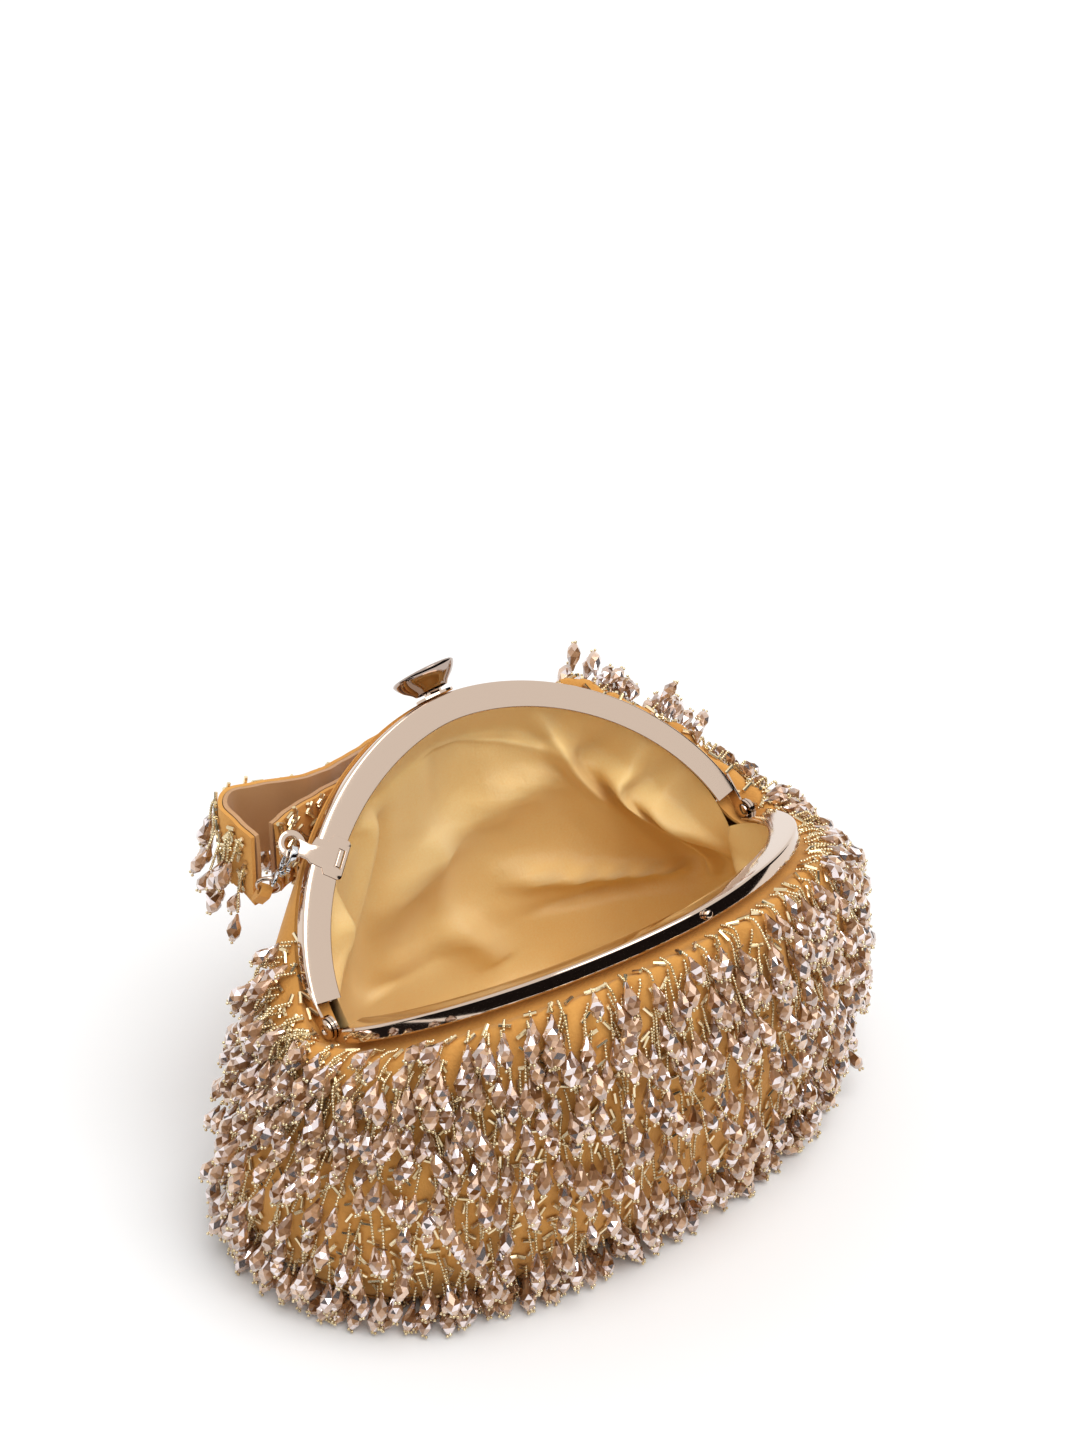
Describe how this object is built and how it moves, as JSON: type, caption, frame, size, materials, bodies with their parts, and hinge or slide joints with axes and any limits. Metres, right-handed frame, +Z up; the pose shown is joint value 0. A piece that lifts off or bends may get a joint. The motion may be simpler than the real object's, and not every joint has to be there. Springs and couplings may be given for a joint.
{
  "type": "potli_bag",
  "caption": "Potli evening bag with a hinged dome frame, push clasp, gathered velvet pouch with bead fringe, satin lining and a clip-on wrist strap",
  "frame": {"origin": "On the floor, under the middle of the frame's hinge axis", "axes": "+X along the hinge axis to the bag's right as seen from the front, -Y to the front, +Z up"},
  "size_m": [0.2688, 0.1986, 0.1687],
  "materials": {
    "frame": "light rose-gold plated metal, mirror polished",
    "claw": "bright chromed hook",
    "velvet": "amber velvet with a short pile, sewn with gold bugles and bead drops",
    "satin": "golden satin with soft sheen",
    "twine": "twisted paper twine",
    "padding": "felted padding, hidden between cloth and lining",
    "board": "pressed board, hidden in the base"
  },
  "bodies": {
    "bag": {"rear_frame_bar": "frame", "left_hinge_rivet": "frame", "right_hinge_rivet": "frame", "clasp_saddle": "frame", "clasp_pin": "frame", "strap_lug": "frame", "lug_tongue": "frame", "rear_channel_cord": "twine", "front_velvet": "velvet", "rear_velvet": "velvet", "left_gusset": "velvet", "right_gusset": "velvet", "base_velvet": "velvet", "front_lining": "satin", "rear_lining": "satin", "base_lining": "satin", "pouch_shell": "padding", "base_board": "board", "strap_band": "velvet", "strap_lining": "satin", "strap_tab": "velvet", "claw_swivel_eye": "claw", "strap_ring": "frame"},
    "front_frame": {"front_frame_bar": "frame", "front_channel_cord": "twine", "clasp_stud": "frame"},
    "clasp": {"clasp_post": "frame", "clasp_cup": "frame"},
    "claw": {"claw_hook": "claw", "claw_gate_pin": "claw"},
    "claw_gate": {"claw_gate": "claw"}
  },
  "joints": [
    {"name": "frame_hinge", "type": "hinge", "parent": "bag", "child": "front_frame", "pos_m": [0, 0, 0.092], "axis": [-1, 0, 0], "range_deg": [0, 103.4]},
    {"name": "clasp_tip", "type": "hinge", "parent": "bag", "child": "clasp", "pos_m": [0, 0.06417, 0.15439], "axis": [-1, 0, 0], "range_deg": [0, 12], "stiffness_Nm_per_rad": 0.03},
    {"name": "claw_swivel", "type": "hinge", "parent": "bag", "child": "claw", "pos_m": [-0.08106, 0.03842, 0.13537], "axis": [0.1457, -0.5296, 0.8356], "range_deg": [-6, 6]},
    {"name": "gate_hinge", "type": "hinge", "parent": "claw", "child": "claw_gate", "pos_m": [-0.08402, 0.0425, 0.12567], "axis": [-0.771, 0.4685, 0.4314], "range_deg": [0, 18], "stiffness_Nm_per_rad": 0.002}
  ]
}
